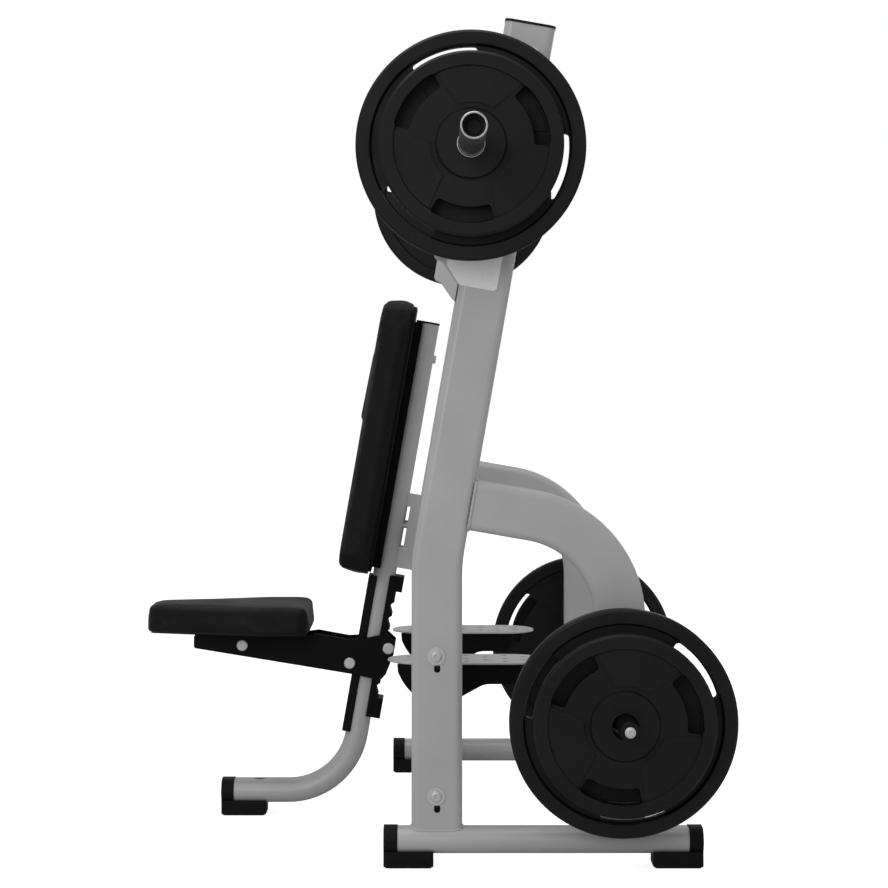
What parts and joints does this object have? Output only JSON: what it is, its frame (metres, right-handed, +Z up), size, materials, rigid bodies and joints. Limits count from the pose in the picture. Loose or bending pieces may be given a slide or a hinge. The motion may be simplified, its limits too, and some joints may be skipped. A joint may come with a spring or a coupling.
{
  "type": "olympic shoulder press bench",
  "caption": "Free-standing shoulder-press bench with leaning uprights, bar catches, loaded Olympic bar, fixed back pad, rack-adjusted seat, spotter steps and plate storage horns.",
  "frame": {"origin": "on the floor, under the middle of the bounding box", "axes": "+X to the rear of the bench (the user faces -X), +Z up, the bar runs along Y and the user's left is -Y"},
  "size_m": [1.238, 2.2, 1.6986],
  "materials": {
    "silver_paint": "satin powder coat",
    "black_paint": "satin powder coat",
    "guard_panel": "smooth light grey",
    "plate_iron": "black enamel, satin",
    "chrome_bar": "bright plated",
    "zinc_steel": "satin plated",
    "cap_plastic": "moulded",
    "foot_rubber": "moulded",
    "liner_plastic": "moulded nylon",
    "upholstery": "vinyl, fine grain",
    "board_black": "stained black"
  },
  "bodies": {
    "frame": {"back_board": "board_black", "back_bolts": "zinc_steel", "back_channel": "black_paint", "back_crossbar": "silver_paint", "back_pad": "upholstery", "base_tube_left": "silver_paint", "base_tube_right": "silver_paint", "catch_housing_left": "silver_paint", "catch_housing_right": "silver_paint", "catch_liners": "liner_plastic", "catch_panel_left": "guard_panel", "catch_panel_right": "guard_panel", "frame_bolts": "zinc_steel", "front_foot_left": "foot_rubber", "front_foot_right": "foot_rubber", "front_guide": "liner_plastic", "horn_bolts": "zinc_steel", "horn_caps": "cap_plastic", "lower_crossbar": "silver_paint", "post_bracket": "silver_paint", "post_cap": "cap_plastic", "post_foot": "foot_rubber", "rear_foot_left": "foot_rubber", "rear_foot_right": "foot_rubber", "rear_leg_left": "silver_paint", "rear_leg_right": "silver_paint", "seat_post": "silver_paint", "seat_rack": "black_paint", "step_brackets": "black_paint", "step_crossbar": "silver_paint", "step_plate_left": "silver_paint", "step_plate_right": "silver_paint", "storage_horn_left": "black_paint", "storage_horn_right": "black_paint", "upright_caps": "cap_plastic", "upright_left": "silver_paint", "upright_right": "silver_paint"},
    "seat_slider": {"roller_axle": "zinc_steel"},
    "roller": {"front_roller": "liner_plastic"},
    "seat_arm": {"seat_plate_left": "black_paint", "seat_plate_right": "black_paint", "seat_bracket": "black_paint", "seat_board": "board_black", "seat_pad": "upholstery", "seat_bolt": "zinc_steel", "latch_pin": "zinc_steel"},
    "bar": {"bar_shaft": "chrome_bar"},
    "left_sleeve": {"sleeve_left": "chrome_bar", "sleeve_plug_left": "cap_plastic"},
    "left_bar_plate_large": {"bar_plate_large_left": "plate_iron"},
    "left_bar_plate_small": {"bar_plate_small_left": "plate_iron"},
    "left_stored_plate_large": {"stored_plate_large_left": "plate_iron"},
    "left_stored_plate_small": {"stored_plate_small_left": "plate_iron"},
    "right_sleeve": {"sleeve_right": "chrome_bar", "sleeve_plug_right": "cap_plastic"},
    "right_bar_plate_large": {"bar_plate_large_right": "plate_iron"},
    "right_bar_plate_small": {"bar_plate_small_right": "plate_iron"},
    "right_stored_plate_large": {"stored_plate_large_right": "plate_iron"},
    "right_stored_plate_small": {"stored_plate_small_right": "plate_iron"}
  },
  "joints": [
    {"name": "seat_height", "type": "slide", "parent": "frame", "child": "seat_slider", "axis": [0.1719, 0, 0.9851], "range_m": [-0.0915, 0.0915]},
    {"name": "roller_spin", "type": "hinge", "parent": "seat_slider", "child": "roller", "pos_m": [-0.167, 0, 0.34154], "axis": [0, 1, 0], "continuous": true},
    {"name": "seat_tip", "type": "hinge", "parent": "seat_slider", "child": "seat_arm", "pos_m": [-0.167, 0, 0.34154], "axis": [0, 1, 0], "range_deg": [0, 10]},
    {"name": "bar_lift", "type": "slide", "parent": "frame", "child": "bar", "axis": [0.1719, 0, 0.9851], "range_m": [0, 0.35]},
    {"name": "left_sleeve_spin", "type": "hinge", "parent": "bar", "child": "left_sleeve", "pos_m": [0.093, 0, 1.432], "axis": [0, 1, 0], "continuous": true},
    {"name": "left_bar_plate_slide", "type": "slide", "parent": "left_sleeve", "child": "left_bar_plate_large", "axis": [0, -1, 0], "range_m": [0, 0.25]},
    {"name": "left_bar_small_plate_slide", "type": "slide", "parent": "left_bar_plate_large", "child": "left_bar_plate_small", "axis": [0, -1, 0], "range_m": [0, 0.085]},
    {"name": "left_stored_plate_slide", "type": "slide", "parent": "frame", "child": "left_stored_plate_large", "axis": [0, -1, 0], "range_m": [0, 0.08]},
    {"name": "left_stored_small_plate_slide", "type": "slide", "parent": "left_stored_plate_large", "child": "left_stored_plate_small", "axis": [0, -1, 0], "range_m": [0, 0.03]},
    {"name": "right_sleeve_spin", "type": "hinge", "parent": "bar", "child": "right_sleeve", "pos_m": [0.093, 0, 1.432], "axis": [0, 1, 0], "continuous": true},
    {"name": "right_bar_plate_slide", "type": "slide", "parent": "right_sleeve", "child": "right_bar_plate_large", "axis": [0, 1, 0], "range_m": [0, 0.25]},
    {"name": "right_bar_small_plate_slide", "type": "slide", "parent": "right_bar_plate_large", "child": "right_bar_plate_small", "axis": [0, 1, 0], "range_m": [0, 0.085]},
    {"name": "right_stored_plate_slide", "type": "slide", "parent": "frame", "child": "right_stored_plate_large", "axis": [0, 1, 0], "range_m": [0, 0.08]},
    {"name": "right_stored_small_plate_slide", "type": "slide", "parent": "right_stored_plate_large", "child": "right_stored_plate_small", "axis": [0, 1, 0], "range_m": [0, 0.03]}
  ]
}
